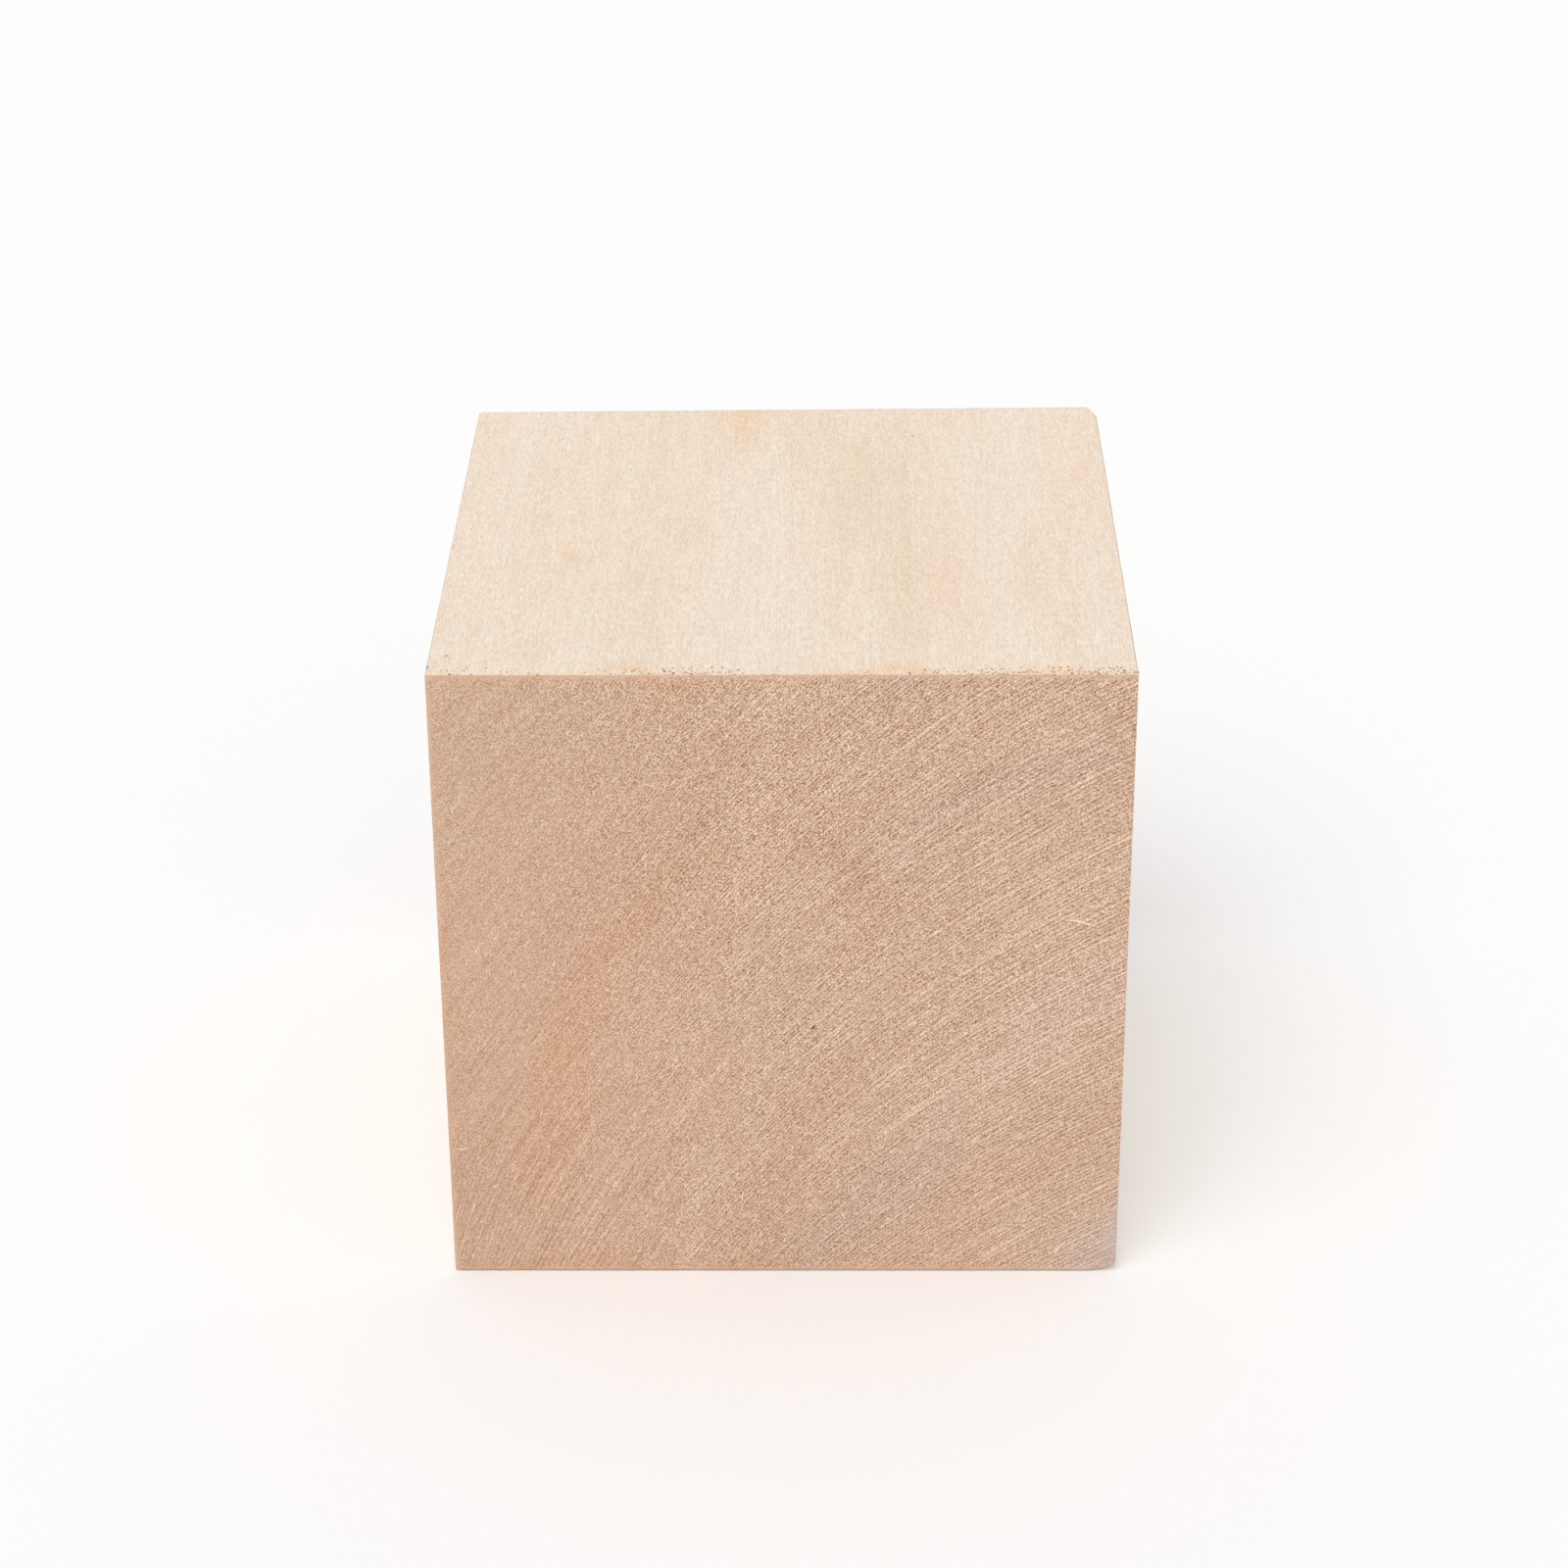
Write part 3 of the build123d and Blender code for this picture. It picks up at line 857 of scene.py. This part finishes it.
slivers = {  # fibres raised on the front: centre across and up, length, width, tilt from level and bend
    "long": {"at": (0.927, 0.601), "length": 4.4 * mm, "width": 0.4 * mm, "tilt": -15, "bend": 0.25 * mm},
    "beside it": {"at": (0.914, 0.56), "length": 1.7 * mm, "width": 0.24 * mm, "tilt": 35, "bend": 0.05 * mm},
    "low left": {"at": (0.069, 0.152), "length": 1.5 * mm, "width": 0.24 * mm, "tilt": 32, "bend": 0.05 * mm},
    "at left": {"at": (0.022, 0.219), "length": 2.3 * mm, "width": 0.24 * mm, "tilt": 4, "bend": -0.15 * mm},
    "left": {"at": (0.291, 0.283), "length": 1.4 * mm, "width": 0.22 * mm, "tilt": 24, "bend": 0.05 * mm},
    "steep": {"at": (0.438, 0.136), "length": 1.9 * mm, "width": 0.24 * mm, "tilt": 81, "bend": 0.1 * mm},
    "bright": {"at": (0.586, 0.101), "length": 1.8 * mm, "width": 0.28 * mm, "tilt": -68, "bend": 0.1 * mm},
    "above it": {"at": (0.596, 0.146), "length": 1.8 * mm, "width": 0.2 * mm, "tilt": -78, "bend": -0.1 * mm},
    "short": {"at": (0.689, 0.379), "length": 1.1 * mm, "width": 0.26 * mm, "tilt": 79, "bend": 0.05 * mm},
    "low right": {"at": (0.914, 0.043), "length": 3.2 * mm, "width": 0.3 * mm, "tilt": 55, "bend": 0.2 * mm},
}

# width as a share of the sliver's, half thickness, how far it is sunk, and its shift downwards; the wider
# first part is a dark sheet below each sliver, painted shadow
sliverParts = {
    "paintedShadow": (1.7, 0.06 * mm, 0.035 * mm, 0.3),
    "sliver": (1.0, 0.1 * mm, -0.06 * mm, 0.0),
}

sliverShape = {
    "steps": 12,  # along it
    "sides": 6,
    "tip": 0.12,  # its width at the ends, as a share
    "waver": (0.85, 1.1),  # of its width on the way
    "seed": 5,
}


def sliverRing(place, across, halfWidth, halfDepth):
    # the points round a sliver, flattened against the face
    ring = []
    for k in range(sliverShape["sides"]):
        turn = 2 * math.pi * k / sliverShape["sides"]
        aside = across * (halfWidth * math.cos(turn))
        ring.append(place + aside + Vector((0, halfDepth * math.sin(turn), 0)))
    return ring


def makeSlivers(surface, fibre, torn):
    # each lies on the front as it is, half sunk into it, over a wider dark sheet shifted below it that is
    # painted shadow
    bvh = BVHTree.FromPolygons([v.co for v in surface.vertices], [p.vertices for p in surface.polygons])
    rng = random.Random(sliverShape["seed"])
    steps, sides = sliverShape["steps"], sliverShape["sides"]
    points, faces, painted = [], [], []
    for s, part in ((s, part) for s in slivers.values() for part in ("paintedShadow", "sliver")):
        wide, thickest, sunk, shift = sliverParts[part]
        tilt = math.radians(s["tilt"])
        along = Vector((math.cos(tilt), 0, math.sin(tilt)))
        across = Vector((-math.sin(tilt), 0, math.cos(tilt)))
        centre = Vector((low.x + s["at"][0] * width, low.y, low.z + s["at"][1] * height))
        first = len(points)
        for k in range(steps + 1):
            t = 2 * k / steps - 1
            place = centre + along * (0.5 * t * s["length"])
            place += across * (s["bend"] * (1 - t * t) - shift * s["width"])
            hit = bvh.ray_cast(place - Vector((0, mm, 0)), Vector((0, 1, 0)))[0]
            taper = math.sqrt(max(0.0, 1 - t * t)) * rng.uniform(*sliverShape["waver"])
            thick = 0.5 * wide * s["width"] * max(sliverShape["tip"], taper)
            place.y = max(hit.y + sunk, low.y + thickest)
            points += sliverRing(place, across, thick, min(thick, thickest))
        for k in range(steps):
            for c in range(sides):
                a, b = first + sides * k + c, first + sides * k + (c + 1) % sides
                faces.append((a, b, b + sides, a + sides))
        faces.append(tuple(first + c for c in reversed(range(sides))))
        faces.append(tuple(first + sides * steps + c for c in range(sides)))
        # the painted shadow sheets take the second material, the torn wood's colour
        painted += [part == "paintedShadow"] * (sides * steps + 2)
    mesh = bpy.data.meshes.new("slivers")
    mesh.from_pydata(points, [], faces)
    mesh.materials.append(fibre)
    mesh.materials.append(torn)
    mesh.polygons.foreach_set("material_index", painted)
    mesh.shade_smooth()
    made = bmesh.new()
    made.from_mesh(mesh)
    bmesh.ops.recalc_face_normals(made, faces=made.faces)
    made.to_mesh(mesh)
    made.free()
    return addPiece("slivers", mesh)


# the kinds of loose wood: the pale and the deep colour, and how many mottles there are to a metre
looseWoods = {
    "paleFibre": (linear(254, 236, 216), linear(240, 214, 188), 2500.0),
    # its colours also paint the shadow sheets under the slivers
    "tornWoodAndShadow": (linear(200, 154, 112), linear(140, 96, 62), 4000.0),
}

mottles = {  # from their deep parts to their pale ones
    "colour": (0.35, 0.65),
    "roughness": (0.3, 0.7, 0.9, 0.75),
    "bump": 0.03 * mm,
}


def mottleGroup():
    # a loose bit of wood is mottled between two colours
    inputs = [("Vector", "NodeSocketVector", None), ("Scale", "NodeSocketFloat", 1.0)]
    inputs += [("Pale", "NodeSocketColor", None), ("Deep", "NodeSocketColor", None)]
    outputs = [("Colour", "NodeSocketColor"), ("Roughness", "NodeSocketFloat")]
    outputs += [("Normal", "NodeSocketVector")]
    tree, start, end = newTree("mottle", "ShaderNodeTree", inputs, outputs)
    get = start.outputs
    mottle = noise(tree, get["Vector"], get["Scale"], 3.0)
    pale = smoothRange(tree, mottle, *mottles["colour"])
    colour = mixColour(tree, "MIX", pale, get["Deep"], get["Pale"])
    roughness = smoothRange(tree, mottle, *mottles["roughness"])
    bump = addNode(tree, "ShaderNodeBump", {"Height": mottle, "Distance": mottles["bump"]})
    for made, socket in zip((colour, roughness, bump.outputs[0]), end.inputs):
        tree.links.new(made, socket)
    return tree


def looseWood(name, group):
    pale, deep, scale = looseWoods[name]
    material = bpy.data.materials.new(name)
    material.use_nodes = True
    tree = material.node_tree
    shader = tree.nodes["Principled BSDF"]
    place = tree.nodes.new("ShaderNodeTexCoord").outputs["Object"]
    inputs = {"Vector": place, "Scale": scale, "Pale": pale, "Deep": deep}
    mottle = addNode(tree, "ShaderNodeGroup", inputs, node_tree=group)
    for label, socket in (("Colour", "Base Color"), ("Roughness", "Roughness"), ("Normal", "Normal")):
        tree.links.new(mottle.outputs[label], shader.inputs[socket])
    shader.inputs["Specular IOR Level"].default_value = finish["gloss"]
    return material


camera = {  # solved from the corners of the block, then drawn in by 0.4% because its surface is set back
    "focalPixels": 4006.4,
    "picture": 1600,  # pixels across and down
    "sensor": 36,
    "clip": (0.01, 50),
    "place": (0.063 * width, low.y - 4.933 * width, 3.361 * width),
    "pitch": 0.4744,  # down, in radians
    "yaw": -0.0122,
    "roll": -0.0064,
}


def addCamera():
    pitch, yaw, roll = camera["pitch"], camera["yaw"], camera["roll"]
    forward = Vector((math.sin(yaw) * math.cos(pitch), math.cos(yaw) * math.cos(pitch), -math.sin(pitch)))
    right = Vector((math.cos(yaw), -math.sin(yaw), 0))
    up = right.cross(forward)
    right, up = math.cos(roll) * right + math.sin(roll) * up, math.cos(roll) * up - math.sin(roll) * right
    data = bpy.data.cameras.new("camera")
    data.sensor_width = camera["sensor"]
    data.lens = camera["sensor"] * camera["focalPixels"] / camera["picture"]
    data.clip_start, data.clip_end = camera["clip"]
    made = bpy.data.objects.new("camera", data)
    bpy.context.scene.collection.objects.link(made)
    turn = Matrix((right, up, -forward)).transposed()
    made.matrix_world = Matrix.Translation(camera["place"]) @ turn.to_4x4()
    bpy.context.scene.camera = made


studio = {
    "floorSize": 6.0,
    "floor": linear(254, 254, 254),
    "sky": 0.72,  # strength of the light from all round; what the camera sees of it is 1, white
    "sun": {"from": (-0.2, -0.45, 0.9), "strength": 0.98, "softness": 40},  # softness in degrees
}


def addStudio():
    half = studio["floorSize"] / 2
    mesh = bpy.data.meshes.new("floor")
    corners = [(-half, -half, 0), (half, -half, 0), (half, half, 0), (-half, half, 0)]
    mesh.from_pydata(corners, [], [(0, 1, 2, 3)])
    floor = addPiece("floor", mesh)
    material = bpy.data.materials.new("paleFloor")
    material.use_nodes = True
    shader = material.node_tree.nodes["Principled BSDF"]
    shader.inputs["Base Color"].default_value = studio["floor"]
    shader.inputs["Roughness"].default_value = 0.9
    shader.inputs["Specular IOR Level"].default_value = 0.0
    mesh.materials.append(material)

    world = bpy.data.worlds.new("studio")
    bpy.context.scene.world = world
    world.use_nodes = True
    tree = world.node_tree
    rays = tree.nodes.new("ShaderNodeLightPath").outputs
    seen = calc(tree, "MAXIMUM", rays["Is Camera Ray"], rays["Is Glossy Ray"])
    seen = calc(tree, "MAXIMUM", seen, rays["Is Transmission Ray"])
    strength = calc(tree, "MULTIPLY_ADD", seen, 1.0 - studio["sky"], studio["sky"])
    tree.nodes["Background"].inputs["Color"].default_value = (1, 1, 1, 1)
    tree.links.new(strength, tree.nodes["Background"].inputs["Strength"])

    data = bpy.data.lights.new("sun", "SUN")
    data.energy, data.angle = studio["sun"]["strength"], math.radians(studio["sun"]["softness"])
    sun = bpy.data.objects.new("sun", data)
    bpy.context.scene.collection.objects.link(sun)
    sun.rotation_mode = "QUATERNION"
    sun.rotation_quaternion = Vector(studio["sun"]["from"]).to_track_quat("Z", "Y")
    bpy.context.scene.view_settings.view_transform = "Standard"


addCamera()
addStudio()
print("studio and camera ready")
wood = woodMaterial()
mottled = mottleGroup()
fibre = looseWood("paleFibre", mottled)
tornWoodAndShadow = looseWood("tornWoodAndShadow", mottled)
print("materials ready")
blockPiece = makeBlock(wood)
print("block", len(blockPiece.data.polygons), "faces")
fuzz = grown("looseFibres", blockPiece, looseFibreTree(), {**looseFibres, "Fibre": fibre})
print("loose fibres", len(fuzz.data.polygons), "faces")
dust = grown("crumbs", blockPiece, crumbTree(), {**crumbs, "Torn Wood": tornWoodAndShadow})
print("crumbs", len(dust.data.polygons), "faces")
raised = makeSlivers(blockPiece.data, fibre, tornWoodAndShadow)
print("slivers", len(raised.data.polygons), "faces")
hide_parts("wooden_cube")
for piece in (blockPiece, fuzz, dust, raised):
    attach(piece, "root")
